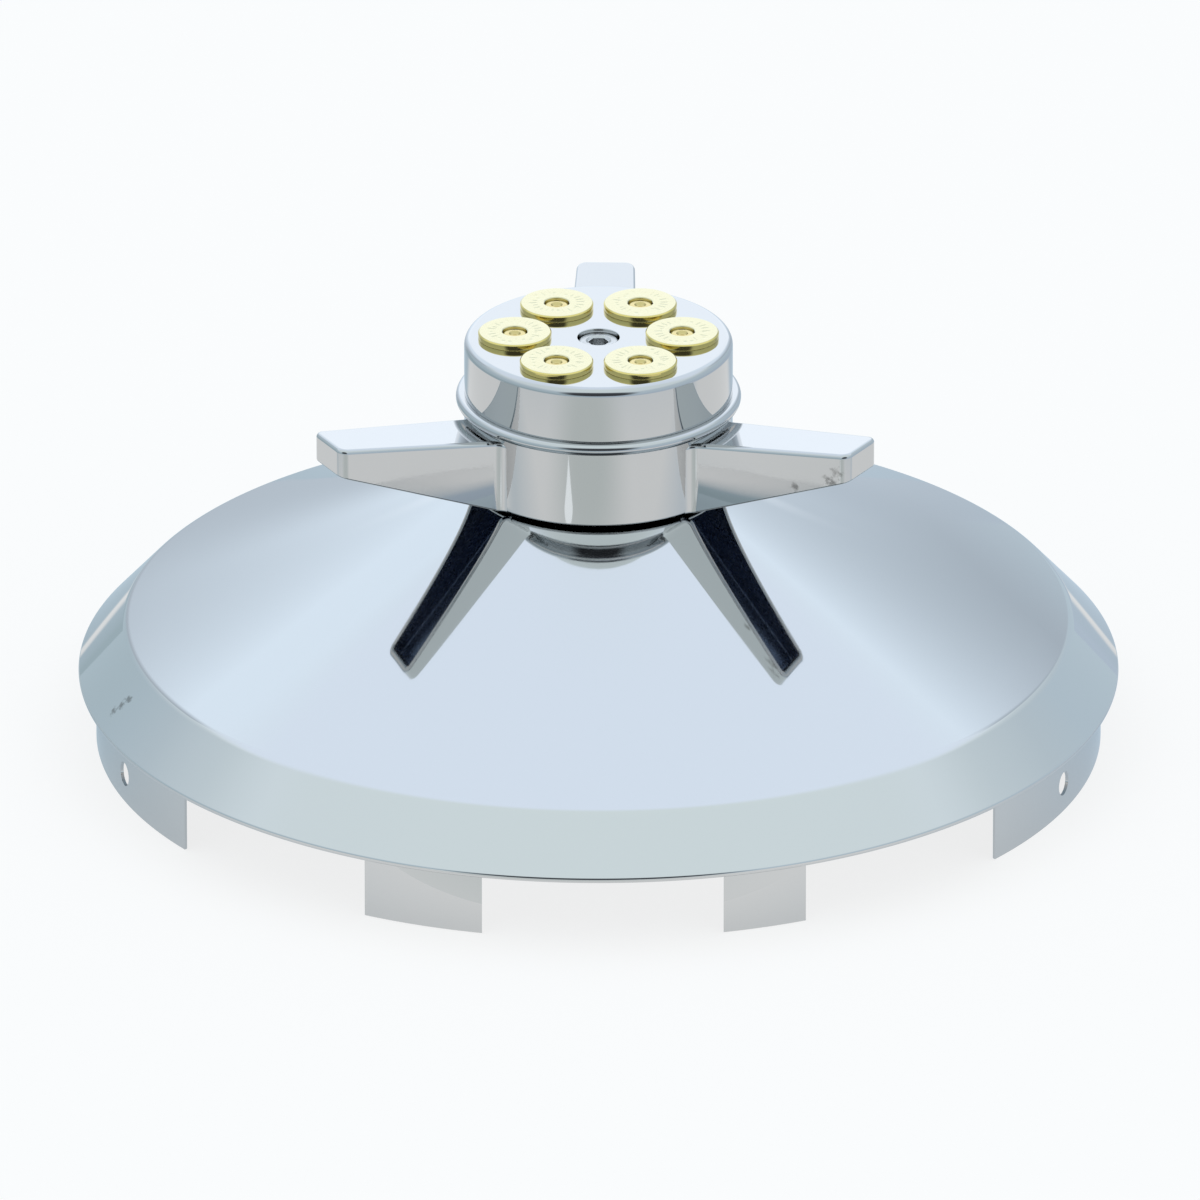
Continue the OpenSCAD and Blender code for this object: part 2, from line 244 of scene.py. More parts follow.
def chrome(name, colour, wave_mm, wave_depth_mm, shine=0.035, smear=0.03, worn=()):
    """Chrome over a base with such waves, tarnished in the spots (x, y, z, radius) in mm."""
    made, tree, place = new_finish(name)
    waves, smears, flecks = [
        add(tree, "ShaderNodeTexNoise", {"Scale": 1 / (size * MM), "Detail": detail,
                                         "Vector": place})
        for size, detail in ((wave_mm, 1), (SMEAR_MM, 5), (FLECK_MM, 3))]
    bump = add(tree, "ShaderNodeBump", {"Strength": 1, "Distance": wave_depth_mm * MM,
                                        "Height": waves})
    gloss = add(tree, "ShaderNodeMapRange", {"From Min": 0.45, "From Max": 0.75, "To Min": shine,
                                             "To Max": shine + smear, "Value": smears})
    tone = colour
    for x, y, z, radius in worn:
        away = add(tree, "ShaderNodeVectorMath", {"operation": "DISTANCE", 0: place,
                                                  1: (x * MM, y * MM, z * MM)})
        near = add(tree, "ShaderNodeMapRange", {"From Min": radius * MM, "From Max": 0,
                                                "To Min": SPOT_EDGE, "To Max": SPOT_MIDDLE,
                                                "Value": away.outputs["Value"]})
        # The nearer to a spot's middle, the more of the flecks come through
        dirt = add(tree, "ShaderNodeMath", {"operation": "ADD", 0: near, 1: flecks})
        spot = add(tree, "ShaderNodeMapRange", {"From Min": 0.45, "From Max": 0.7,
                                                "To Max": TARNISH_COVER, "Value": dirt})
        tone = add(tree, "ShaderNodeMix", {"data_type": "RGBA", FACTOR: spot, BELOW: tone,
                                           ABOVE: TARNISH}).outputs[MIXED]
        gloss = add(tree, "ShaderNodeMath", {"operation": "MULTIPLY_ADD", 0: spot,
                                             1: TARNISH_ROUGHNESS, 2: gloss})
    look = add(tree, "ShaderNodeBsdfPrincipled", {"Metallic": 1, "Base Color": tone,
                                                  "Roughness": gloss, "Normal": bump})
    add(tree, "ShaderNodeOutputMaterial", {"Surface": look})
    return made


BAND_SCUFF = [(-104.1, -32.5, 18.9, 2.8), (-102.6, -33, 20.5, 3.4), (-101.1, -33.4, 22, 2.6)]
TIP_PITS = [(42, -33.5, 72, 3), (49.8, -37.5, 75.5, 3.6), (51, -38.3, 77.5, 3.3)]
sheet_chrome = chrome("chromed pressed steel", CHROMIUM, 40, 0.05, worn=BAND_SCUFF)
cast_chrome = chrome("chromed die-cast zinc", THIN_CHROMIUM, 12, 0.008, worn=TIP_PITS)
turned_chrome = chrome("chromed turned steel", THIN_CHROMIUM, 30, 0.004, 0.02, 0.015)
print("chrome in linear light:", [round(v, 3) for v in linear(CHROMIUM)])

# %% [markdown]
# ## Bare metal and brass
# Plating doesn't reach into deep hollows, so the underside of a bar keeps the dull skin of the
# zinc casting; its dark blue-grey colour is painted shade, the shade inside the hollow.
# Cartridge brass is seven parts of copper to three of zinc. The case heads get two colours of
# the one brass, as painted light: the struck face is painted pale, a painted highlight for its
# bright mirror, and the rim, which a cutter turned last, is painted the fuller yellow that
# brass shows where it mirrors only the dark cap. The hidden fittings are plain turned steel,
# zinc plate, sintered bronze and nylon.

# %% Metals and nylon
def metal(name, colour, rough, grain_mm, grain_depth_mm, spread=0.1, metallic=1):
    """A metal with a fine grain in its surface, and a roughness that varies by spread."""
    made, tree, place = new_finish(name)
    grain = add(tree, "ShaderNodeTexNoise", {"Scale": 1 / (grain_mm * MM), "Detail": 4,
                                             "Vector": place})
    gloss = add(tree, "ShaderNodeMapRange", {"From Min": 0.3, "From Max": 0.7, "To Min": rough,
                                             "To Max": rough + spread, "Value": grain})
    bump = add(tree, "ShaderNodeBump", {"Strength": 1, "Distance": grain_depth_mm * MM,
                                        "Height": grain})
    look = add(tree, "ShaderNodeBsdfPrincipled", {"Base Color": colour, "Metallic": metallic,
                                                  "Roughness": gloss, "Normal": bump})
    add(tree, "ShaderNodeOutputMaterial", {"Surface": look})
    return made


# Each with its roughness, the width and depth of its grain, and the roughness's spread
# The hollow's zinc skin is painted dark blue-grey, which stands for the shade inside the hollow
zinc_skin_painted_shade = metal("bare die-cast zinc painted dark as hollow shade", "#747F96", 0.24, 1.5, 0.006, 0.06, metallic=0.85)
# One brass in two colours: the face painted pale as a highlight, the rim deeper yellow as shade
brass = metal("cartridge brass face painted pale as a highlight", "#DAD3AF", 0.1, 2, 0.001, 0.05)
rim_brass = metal("cartridge brass rim painted deeper as in shade", "#E3D083", 0.1, 2, 0.001, 0.05)
primer_brass = metal("primer brass", "#D4C286", 0.14, 2, 0.004, 0.06)
screw_chrome = metal("chrome plated screw steel", "#C6C7C7", 0.26, 0.8, 0.002)
steel = metal("turned steel", "#B4B4B2", 0.28, 0.8, 0.003)
zinc = metal("zinc plated steel", "#BEC3C8", 0.32, 0.8, 0.003)
bronze = metal("sintered bronze", "#A88455", 0.4, 0.6, 0.006)
nylon = metal("natural nylon", "#E4E0D2", 0.45, 1, 0.004, metallic=0)
print(len(bpy.data.materials), "materials so far")

# %% [markdown]
# ## The cap
# The cap starts as one round blank. A press draws the cone and the steep band, folds the
# hem back under itself and turns the rest down into the lip. So its profile is one line
# with the sheet's thickness beside it, and the mesh is that thin outline turned round.

# %% Sizes of the sheet, in millimetres
SHEET = 0.7
LIP_R = 108.65
LIP_H = 14.4
LIP_BEND = 0.4
FOLD_R = SHEET + 0.12
RIM_R = LIP_R + 3.75
RIM_Z = LIP_H + FOLD_R
BAND_TOP = (102.2, 26.72)
BAND_FOOT = (111.3, 16.46)
BAND_BEND = 4
BAND_SLOPE = math.degrees(math.atan2(BAND_TOP[1] - RIM_Z, RIM_R - BAND_TOP[0]))
SEAT_HOLE_R = 8.3
SEAT_R = 12
SEAT_Z = 68.02
SEAT_BEND = 3
DOME_BOW = -1.8  # the face is slightly hollow
DOME_STEP = 4
print(f"rim {2 * RIM_R:.1f} mm across, band at {BAND_SLOPE:.1f} degrees")

# %% The sheet's outline
def dome_z(r):
    """Height of the dome's face at a distance r from the axis."""
    t = (r - SEAT_R) / (BAND_TOP[0] - SEAT_R)
    return SEAT_Z - (SEAT_Z - BAND_TOP[1]) * t + 4 * DOME_BOW * t * (1 - t)


def beside(path, width):
    """The same path, moved sideways to its right."""
    moved = []
    for i, point in enumerate(path):
        last, here = Vector(path[max(i, 1) - 1]), Vector(path[max(i, 1)])
        a = (here - last).normalized()
        here, ahead = Vector(path[min(i, len(path) - 2)]), Vector(path[min(i, len(path) - 2) + 1])
        b = (ahead - here).normalized()
        across = (Vector((a.y, -a.x)) + Vector((b.y, -b.x))) / (1 + a.dot(b))
        moved.append(tuple(Vector(point) + across * width))
    return moved


dome_line = [(r, dome_z(r), 0) for r in range(SEAT_R + DOME_STEP, 100, DOME_STEP)]
outer_line = rounded([(SEAT_HOLE_R, SEAT_Z, 0), (SEAT_R, SEAT_Z, SEAT_BEND), *dome_line,
                      (*BAND_TOP, BAND_BEND), (*BAND_FOOT, 0)], 8)
outer_line = outer_line[:-1] + arc((RIM_R - FOLD_R, RIM_Z), FOLD_R, 90 - BAND_SLOPE, -90, 10)
outer_line += arc((LIP_R + LIP_BEND, LIP_H - LIP_BEND), LIP_BEND, 90, 180, 6) + [(LIP_R, 0)]
sheet_outline = outer_line + beside(outer_line, SHEET)[::-1]
print("the sheet's outline has", len(sheet_outline), "points")

# %% [markdown]
# A second press cuts the lip into springy tabs. Its punches are straight-sided, with small
# rounded corners, and a drill makes the holes that the cap hangs from in the plating bath.
# Cutting the mesh with the punches' own shapes gives true edges.

# %% Cut the slots and holes
SLOTS = [229, 270.5, 307.7]
SLOT_HALF_ANGLE = 13.7
SLOT_HALF = LIP_R * math.sin(math.radians(SLOT_HALF_ANGLE))
SLOT_TOP = 13.9
SLOT_CORNER = 1
HOLES = [200.2, 337]
HOLE_R, HOLE_Z = 2.65, 6.4
BELOW_LIP = -2
PUNCH_NEAR, DRILL_NEAR, CUT_FAR = 103.9, 106, 110

slot_shape = rounded([
    (-SLOT_HALF, BELOW_LIP, 0), (-SLOT_HALF, SLOT_TOP, SLOT_CORNER),
    (SLOT_HALF, SLOT_TOP, SLOT_CORNER), (SLOT_HALF, BELOW_LIP, 0)])
hole_shape = arc((0, HOLE_Z), HOLE_R, 0, 350, 35)
outwards = Matrix(((0, 0, 1, 0), (1, 0, 0, 0), (0, 1, 0, 0), (0, 0, 0, 1)))
punches = bmesh.new()
for half_turn in (0, 180):
    for shape, near, turns in ((slot_shape, PUNCH_NEAR, SLOTS), (hole_shape, DRILL_NEAR, HOLES)):
        for turn in turns:
            aim = Matrix.Rotation(math.radians(turn + half_turn), 4, "Z") @ outwards
            add_prism(punches, shape, near, CUT_FAR, aim)
bmesh.ops.recalc_face_normals(punches, faces=punches.faces)

cap = as_object("pressed_cap", turned(sheet_outline, 360))
cut(cap, as_object("punches", punches))
finish_piece(cap, "cap", ["cap_shell"], [sheet_chrome])

# %% [markdown]
# ## The spinner's hub
# The hub and its three bars are one casting in zinc, ground, buffed and plated. The hub is a
# turned shape: a straight wall, and a round bead that the top cap sits on.

# %% Turn the hub
HUB_R, HUB_Z = 28.9, 60.59
HUB_INNER_R = 26.9
HUB_LIP_Z = 61.6
FLOOR_Z = 77.62
FLOOR_UNDER = 74.62
BOSS_R, BOSS_Z = 10, 72.82
SPINDLE_HOLE_R = 5.05
BEAD = 1.3
BEAD_R = 30.7 - BEAD
LAND_Z = FLOOR_Z + 2 * BEAD
RECESS_R = 27.45

hub_line = rounded([
    (SPINDLE_HOLE_R, BOSS_Z, 0), (BOSS_R, BOSS_Z, 0.3), (BOSS_R, FLOOR_UNDER, 0.6),
    (HUB_INNER_R, FLOOR_UNDER, 1), (HUB_INNER_R, HUB_LIP_Z, 0.2),
    (HUB_R, HUB_Z, 0.35), (HUB_R, FLOOR_Z, 0)], 5)
hub_line += arc((BEAD_R, FLOOR_Z + BEAD), BEAD, -90, 90, 16)
hub_line += [(RECESS_R, LAND_Z), (RECESS_R, FLOOR_Z), (SPINDLE_HOLE_R, FLOOR_Z)]
casting = turned(hub_line)
print("hub outline has", len(hub_line), "points")

# %% [markdown]
# Each bar tapers in plan, climbs towards its tip and is hollow underneath. It is built in
# layers: the same outline again and again, drawn in a little and moved down, over the
# rounded top edge, down the side, round the lower rim and up into the hollow. The root
# flares into the hub with a small fillet, as a casting does.

# %% Sizes of a bar, in millimetres
REACH = 66.3
ROOT_W, TIP_W = 7.5, 6.35
ROOT_TOP, TIP_RISE = 76.72, 5.3
TIP_UNDER = 75.62
TIP_CORNER = 2.2
ROOT_FILLET = 2.5
WALL = 1.3
TOP_EDGE = 1
LOWER_EDGE = 0.4
HOLLOW_EDGE = 0.6
BARS = [88.6, 208.6, 328.6]


def along(x):
    """How far out on a bar x lies: 0 at the hub, 1 at the tip."""
    return (x - HUB_R) / (REACH - HUB_R)


def bar_top(x):
    """Height of a bar's top face."""
    return ROOT_TOP + TIP_RISE * along(x)


def bar_under(x):
    """Height of a bar's lower rim."""
    return max(HUB_Z, HUB_Z + (TIP_UNDER - HUB_Z) * along(x))


print(f"a bar's tip is {bar_top(REACH) - bar_under(REACH):.1f} mm thick")

# %% A bar's outline and layers
def bar_outline():
    """One side of the outline after the other: points and their outward normals."""
    side = Vector((REACH - HUB_R, TIP_W - ROOT_W)).normalized()
    out = Vector((-side.y, side.x))
    slope = side.y / side.x
    # The fillet's centre is its radius away from the side and from the hub
    centre = Vector((HUB_R, 0))
    for _ in range(40):
        y = ROOT_W + slope * (centre.x - HUB_R) + ROOT_FILLET / out.y
        centre = Vector((math.sqrt((HUB_R + ROOT_FILLET) ** 2 - y * y), y))
    to_hub = math.degrees(math.atan2(-centre.y, -centre.x))
    to_side = math.degrees(math.atan2(-out.y, -out.x))
    points = []
    for x, y in arc(centre, ROOT_FILLET, to_hub, to_side, 8):
        points.append((Vector((x, y)), (centre - Vector((x, y))).normalized()))
    tip_mid = Vector((REACH - TIP_CORNER, TIP_W - TIP_CORNER))
    start = math.degrees(math.atan2(out.y, out.x))
    for x, y in arc(tip_mid, TIP_CORNER, start, 0, 10):
        points.append((Vector((x, y)), (Vector((x, y)) - tip_mid).normalized()))
    mirrored = [(Vector((p.x, -p.y)), Vector((n.x, -n.y))) for p, n in points[::-1]]
    return points + mirrored


def quarter(radius, start, end, steps):
    """A quarter turn as steps (1 - cos, 1 - sin), times its radius."""
    turns = [math.radians(start + (end - start) * k / steps) for k in range(steps + 1)]
    return [(radius * (1 - math.cos(t)), radius * (1 - math.sin(t))) for t in turns]


def bar_layers():
    """Each layer as (how far in, its face, how far above that face, its finish)."""
    layers = [(inset, bar_top, -drop, 0) for inset, drop in quarter(TOP_EDGE, 90, 0, 6)]
    layers += [(inset, bar_under, lift, 0) for inset, lift in quarter(LOWER_EDGE, 0, 90, 4)]
    layers += [(WALL - inset, bar_under, lift, 0)
               for inset, lift in quarter(LOWER_EDGE, 90, 0, 4)]
    layers += [(WALL + inset, bar_top, -WALL - drop, 1)
               for inset, drop in quarter(HOLLOW_EDGE, 0, 90, 3)]
    return layers


def add_bar(mesh, turn):
    """Adds one bar to the casting, at an angle."""
    place = Matrix.Rotation(math.radians(turn), 4, "Z")
    outline = bar_outline()
    rings = []
    for inset, face_z, above_face, finish in bar_layers():
        ring = []
        for point, normal in outline:
            p = point - normal * inset
            z = face_z(p.x) + above_face
            ring.append(mesh.verts.new(place @ Vector((p.x * MM, p.y * MM, z * MM))))
        rings.append((ring, finish))
    mesh.faces.new(rings[0][0])
    for (above, _), (below, finish) in zip(rings, rings[1:]):
        for i in range(len(above) - 1):
            face = mesh.faces.new((above[i], below[i], below[i + 1], above[i + 1]))
            face.material_index = finish
    mesh.faces.new(rings[-1][0][::-1]).material_index = 1


for turn in BARS:
    add_bar(casting, turn)
spinner = as_object("cast_spinner", casting)
# The second finish lines the hollows, and is painted dark as their shade
finish_piece(spinner, "spinner", ["spinner_body"], [cast_chrome, zinc_skin_painted_shade])

# %% [markdown]
# ## The top cap
# A disc turned from bar, with a soft edge that was rolled over with a form tool. It is bored
# for the six cases, and counterbored in the middle for the screw.

# %% Turn and bore the top cap
FACE_Z = FLOOR_Z + 15
SOFT_EDGE = 1.8
SPIGOT_R = 27.4
SCREW_HOLE_R = 2.75
COUNTERBORE_R, COUNTERBORE_Z = 4.5, FACE_Z - 5.8
CASE_PITCH = 18
BORE_R, BORE_Z = 6.45, FACE_Z - 9.5
BORE_STEPS = 96
CASES = range(1, 7)


def case_turn(i):
    """Direction of case head i, counted from the front left."""
    return math.radians(240 + 60 * (i - 1))


top_line = rounded([
    (SCREW_HOLE_R, FLOOR_Z, 0), (SPIGOT_R, FLOOR_Z, 0.3), (SPIGOT_R, LAND_Z, 0),
    (HUB_R, LAND_Z, 0.15), (HUB_R, FACE_Z, SOFT_EDGE), (COUNTERBORE_R, FACE_Z, 0.25),
    (COUNTERBORE_R, COUNTERBORE_Z, 0), (SCREW_HOLE_R, COUNTERBORE_Z, 0)], 10)
bore_shape = arc((CASE_PITCH, 0), BORE_R, 0, 360 - 360 / BORE_STEPS, BORE_STEPS - 1)
bores = bmesh.new()
for i in CASES:
    add_prism(bores, bore_shape, BORE_Z, FACE_Z + 1, Matrix.Rotation(case_turn(i), 4, "Z"))
top = as_object("turned_top_cap", turned(top_line))
cut(top, as_object("bores", bores))
finish_piece(top, "spinner", ["top_cap"], [turned_chrome])

# %% [markdown]
# ## Case heads
# The head of a drawn brass case is a flat disc with a rim, a pocket for the primer in its
# middle and a flash hole below. The pocket's edge and the rim are broken by small chamfers.
# The bunter, the punch that forms the head, strikes marks round the primer pocket. These
# heads stay generic, so their ring holds only plain strokes, pressed into the mesh itself.

# %% Sizes of a case head, in millimetres
CASE_TOP = FACE_Z + 1.4
CASE_RIM_R = 7.9
CASE_R, CASE_INNER_R = 6.4, 5.2
CASE_END = FACE_Z - 9
WEB_UNDER = CASE_TOP - 5.5
FLASH_HOLE_R = 1
POCKET_R, POCKET_Z = 2.7, CASE_TOP - 3.2
POCKET_CHAMFER_R = 2.9
PRIMER_R, PRIMER_TOP = 2.65, CASE_TOP - 0.5
DENT_R, DENT_Z = 1.3, CASE_TOP - 1.1
ROW_GAP = 0.25
MARK_ROWS = [4.2 + ROW_GAP * k for k in range(9)]
MARK_STEPS = 256
MARK_DEPTH = 0.07
MARKS = 24
UPRIGHT_SHARE = 0.65

# %% Turn the case heads and primers
def struck(mesh, seed):
    """Presses short strokes into the ring round the primer, in no order that spells anything."""
    draw = random.Random(seed)
    low = set()
    for k in range(MARKS):
        column = round(k * MARK_STEPS / MARKS) + draw.randint(0, 2)
        if draw.random() < UPRIGHT_SHARE:
            low.update((column + c, row)
                       for c in (0, 1) for row in range(1, draw.choice((5, 8, 8))))
        else:
            first = draw.choice((1, 3, 6))
            low.update((column + c, first + row) for c in range(6) for row in (0, 1))
    for vert in mesh.verts:
        row = (vert.co.xy.length / MM - MARK_ROWS[0]) / ROW_GAP
        column = round(math.atan2(vert.co.y, vert.co.x) / (2 * math.pi) * MARK_STEPS) % MARK_STEPS
        on_top = abs(vert.co.z / MM - CASE_TOP) < 0.001 and abs(row - round(row)) < 0.01
        if on_top and (column, round(row)) in low:
            vert.co.z -= MARK_DEPTH * MM
    # The rim is of the second brass, painted deeper yellow as shade; the face keeps the
    # pale-painted one
    for face in mesh.faces:
        middle = face.calc_center_median()
        face.material_index = int(middle.xy.length / MM > CASE_RIM_R - 0.25)
    return mesh


def placed(mesh, turn):
    """Moves a mesh out from the axis to its place in the top cap."""
    bmesh.ops.translate(mesh, verts=mesh.verts, vec=(CASE_PITCH * MM, 0, 0))
    bmesh.ops.rotate(mesh, verts=mesh.verts, cent=(0, 0, 0), matrix=Matrix.Rotation(turn, 3, "Z"))
    return mesh


case_line = rounded([
    (FLASH_HOLE_R, WEB_UNDER, 0), (FLASH_HOLE_R, POCKET_Z, 0), (POCKET_R, POCKET_Z, 0.1),
    (POCKET_R, CASE_TOP - 0.15, 0), (POCKET_CHAMFER_R, CASE_TOP, 0),
    *[(r, CASE_TOP, 0) for r in MARK_ROWS],
    (CASE_RIM_R - 0.3, CASE_TOP, 0.15), (CASE_RIM_R, CASE_TOP - 0.3, 0.15),
    (CASE_RIM_R, FACE_Z, 0.15), (CASE_R, FACE_Z, 0), (CASE_R, CASE_END, 0),
    (CASE_INNER_R, CASE_END, 0), (CASE_INNER_R, WEB_UNDER, 0.5)], 5)
primer_line = rounded([
    (0, POCKET_Z, 0), (PRIMER_R, POCKET_Z, 0.2), (PRIMER_R, PRIMER_TOP, 0.6),
    (DENT_R, PRIMER_TOP, 0.3), (DENT_R - 0.5, DENT_Z, 0.4), (0, DENT_Z - 0.05, 0)], 5)
for i in CASES:
    head = struck(turned(case_line, MARK_STEPS), i)
    head = as_object(f"brass_case_{i}", placed(head, case_turn(i)))
    finish_piece(head, "spinner", [f"case_{i}"], [brass, rim_brass])
    primer = turned(primer_line, 64, closed=False)
    primer = as_object(f"struck_primer_{i}", placed(primer, case_turn(i)))
    finish_piece(primer, "spinner", [f"primer_{i}"], [primer_brass])

# %% [markdown]
# ## The centre screw
# A socket-head screw holds the top cap and the casting to the spindle.

# %% Turn the screw and cut its socket
HEAD_TOP = FACE_Z - 0.8
HEAD_UNDER = HEAD_TOP - 5
HEAD_R, SHANK_R = 4.25, 2.5
SHANK_END = HEAD_TOP - 25
SOCKET_EDGE_R, SOCKET_R = 2.75, 2.3
SOCKET_CHAMFER = 0.4
KEY_R = 2.309  # to the corners of a 4 mm key
KEY_DEPTH = 2.5

screw_line = rounded([
    (0, SHANK_END, 0), (SHANK_R - 0.3, SHANK_END, 0.2), (SHANK_R, HEAD_TOP - 24.5, 0),
    (SHANK_R, HEAD_UNDER, 0), (HEAD_R, HEAD_UNDER, 0.2), (HEAD_R, HEAD_TOP, 0.4),
    (SOCKET_EDGE_R, HEAD_TOP, 0), (SOCKET_R, HEAD_TOP - SOCKET_CHAMFER, 0),
    (0, HEAD_TOP - SOCKET_CHAMFER, 0)], 5)
key = bmesh.new()
add_prism(key, arc((0, 0), KEY_R, 0, 300, 5), HEAD_TOP - KEY_DEPTH, HEAD_TOP + 1, Matrix())
screw = as_object("socket_screw", turned(screw_line, 96, closed=False))
cut(screw, as_object("hexagon_key", key))
finish_piece(screw, "spinner", ["centre_screw"], [screw_chrome])

# %% [markdown]
# ## Hidden fittings
# Under the dome a bush, a spindle, washers and nuts let the spinner turn. They keep their
# CAD shapes, which are already what such parts are, and get the finish of each metal.

# %% Finish the fittings
FITTINGS = {
    "flange_bush": bronze, "backing_washer": zinc, "bush_nut": zinc, "thrust_washer": nylon,
    "spindle": steel, "spindle_washer": zinc, "lock_nut": zinc}
for node, finish in FITTINGS.items():
    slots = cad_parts[node].data.materials
    for k in range(len(slots)):
        slots[k] = finish
    print(node, "is", finish.name)

# %% [markdown]
# ## Studio
# The cap stands on white paper in a soft tent of light. The tent is cool and nearly even, a
# little brighter higher up, and dark only on the side that the camera looks from. The paper
# is lit by the tent and glows a little by itself, so that it looks white all over and still
# keeps the cap's shadow. In a mirror it turns a cool grey far off and behind the cap, as a
# table does that ends there. That keeps the steep back of the dome from glaring. Two places
# beside the cap stay white for mirrors high above them, which are the top cap's sides.

# %% Soft edges
def within(tree, *edges):
    """How much the values all lie inside soft edges, each (value, its start, where full)."""
    share = None
    for value, start, full in edges:
        inside = add(tree, "ShaderNodeMapRange", {"interpolation_type": "SMOOTHSTEP",
                                                  "From Min": start, "From Max": full,
                                                  "Value": value})
        if share:
            inside = add(tree, "ShaderNodeMath", {"operation": "MULTIPLY", 0: share, 1: inside})
        share = inside
    return share

# %% Table
LIGHT = 1.6
GLOW_SHARE = 0.8
PAPER, WHITE, MIRRORED_WHITE = "#FBF8F5", "#FFFFFF", "#FAFAFA"
FAR_LEFT, FAR_RIGHT = "#A4BCC7", "#C2D4E8"
BELOW_CAP = 0.3 * MM
# In metres. Each pair below is where a change starts and where it is complete.
PAPER_HALF = 8
FAR_OFF, BEHIND, ACROSS = (0.2, 0.4), (-0.12, 0), (-0.4, 0.4)
SPARED = [(-0.17, 0.07, 0), (0.17, 0.07, 0)]
SPARED_EDGE, FROM_HIGH = (0.14, 0.08), (0.12, 0.15)

floor_mesh = bmesh.new()
bmesh.ops.create_grid(floor_mesh, x_segments=1, y_segments=1, size=PAPER_HALF)
floor = as_object("table", floor_mesh)
floor.location.z = -BELOW_CAP
paper, tree, place = new_finish("pale table paper")
axes = add(tree, "ShaderNodeSeparateXYZ", {"Vector": place}).outputs
away = add(tree, "ShaderNodeVectorMath", {"operation": "LENGTH", 0: place}).outputs["Value"]
ray = add(tree, "ShaderNodeLightPath").outputs
mirror = ray["Is Glossy Ray"]
far_off, behind, across = [
    add(tree, "ShaderNodeMapRange", {"From Min": start, "From Max": full, "Value": value})
    for value, (start, full) in ((away, FAR_OFF), (axes["Y"], BEHIND), (axes["X"], ACROSS))]
cool = add(tree, "ShaderNodeMath", {"operation": "MAXIMUM", 0: far_off, 1: behind})
cool = add(tree, "ShaderNodeMath", {"operation": "MULTIPLY", 0: cool, 1: mirror})
for spot in SPARED:
    reach = add(tree, "ShaderNodeVectorMath", {"operation": "DISTANCE", 0: place, 1: spot})
    spared = within(tree, (reach.outputs["Value"], *SPARED_EDGE),
                    (ray["Ray Length"], *FROM_HIGH))
    outside = within(tree, (spared, 1, 0))
    cool = add(tree, "ShaderNodeMath", {"operation": "MULTIPLY", 0: cool, 1: outside})
near_tone, far_tone = [
    add(tree, "ShaderNodeMix", {"data_type": "RGBA", FACTOR: part, BELOW: below,
                                ABOVE: above}).outputs[MIXED]
    for part, below, above in ((mirror, WHITE, MIRRORED_WHITE), (across, FAR_LEFT, FAR_RIGHT))]
tone = add(tree, "ShaderNodeMix", {"data_type": "RGBA", FACTOR: cool, BELOW: near_tone,
                                   ABOVE: far_tone}).outputs[MIXED]
glow = add(tree, "ShaderNodeEmission", {"Strength": 1, "Color": tone})
matt = add(tree, "ShaderNodeBsdfDiffuse", {"Color": PAPER})
seen = mirror
for kind in ("Is Camera Ray", "Is Transmission Ray"):
    seen = add(tree, "ShaderNodeMath", {"operation": "MAXIMUM", 0: seen, 1: ray[kind]})
share = add(tree, "ShaderNodeMath", {"operation": "MULTIPLY", 0: seen, 1: GLOW_SHARE})
look = add(tree, "ShaderNodeMixShader", {0: share, 1: matt, 2: glow})
add(tree, "ShaderNodeOutputMaterial", {"Surface": look})
floor.data.materials.append(paper)

# %% Light tent
TENT = ((0, "#A9B8C2"), (0.26, "#AAB9C4"), (0.39, "#AEBBC4"), (0.53, "#B9C5CC"),
        (0.64, "#C7D2D7"), (1, "#C9D4D7"))
LOW_LEFT, HIGH_BACK, DARK_SIDE = "#A0B0B9", "#D1DCEA", "#3B3E43"
# Parts of a direction one metre long, again from where a change starts to where it is complete
LEFTWARDS, DOWNWARDS = (0.1, -0.5), (0.5, 0.1)
BACKWARDS, UPWARDS = (-0.1, 0.35), (0.55, 0.75)
# Degrees: which way and how high the dark side lies, and how wide it starts and is complete
DARK_TURN, DARK_RISE, DARK_SPREAD = 270, 17, (36, 20)

world = bpy.data.worlds.new("light tent")
bpy.context.scene.world = world
world.use_nodes = True
tree = world.node_tree
tree.nodes.clear()
way = add(tree, "ShaderNodeTexCoord").outputs["Generated"]
axes = add(tree, "ShaderNodeSeparateXYZ", {"Vector": way}).outputs
height = add(tree, "ShaderNodeValToRGB", {"Fac": axes["Z"]})
stops = height.color_ramp.elements
for rise, _ in TENT[1:-1]:
    stops.new(rise)
for stop, (_, colour) in zip(stops, TENT):
    stop.color = linear(colour)
turn, rise = math.radians(DARK_TURN), math.radians(DARK_RISE)
middle = (math.cos(rise) * math.cos(turn), math.cos(rise) * math.sin(turn), math.sin(rise))
lean = add(tree, "ShaderNodeVectorMath", {"operation": "DOT_PRODUCT", 0: way, 1: middle})
lean_edges = [math.cos(math.radians(spread)) for spread in DARK_SPREAD]
low_left = within(tree, (axes["X"], *LEFTWARDS), (axes["Z"], *DOWNWARDS))
high_back = within(tree, (axes["Y"], *BACKWARDS), (axes["Z"], *UPWARDS))
dark_side = within(tree, (lean.outputs["Value"], *lean_edges))
tent = height
for part, above in ((low_left, LOW_LEFT), (high_back, HIGH_BACK), (dark_side, DARK_SIDE)):
    tent = add(tree, "ShaderNodeMix", {"data_type": "RGBA", FACTOR: part, BELOW: tent,
                                       ABOVE: above}).outputs[MIXED]
tent_light = add(tree, "ShaderNodeBackground", {"Strength": LIGHT, "Color": tent})
add(tree, "ShaderNodeOutputWorld", {"Surface": tent_light})
bpy.context.scene.view_settings.view_transform = "Standard"

# %% [markdown]
# Three cards stand close to the cap, where only mirrors see them. The pale one is behind it
# and glows in a fan that opens upwards. The dome mirrors less and less of that fan towards
# its outer edge and on its right, and that shades it. The heart of the fan is what all the
# level faces mirror. The grey one lies on the table in front, and greys the middle of the
# hub. The bright one, a small drop beside it, is the thin highlight on the hub.

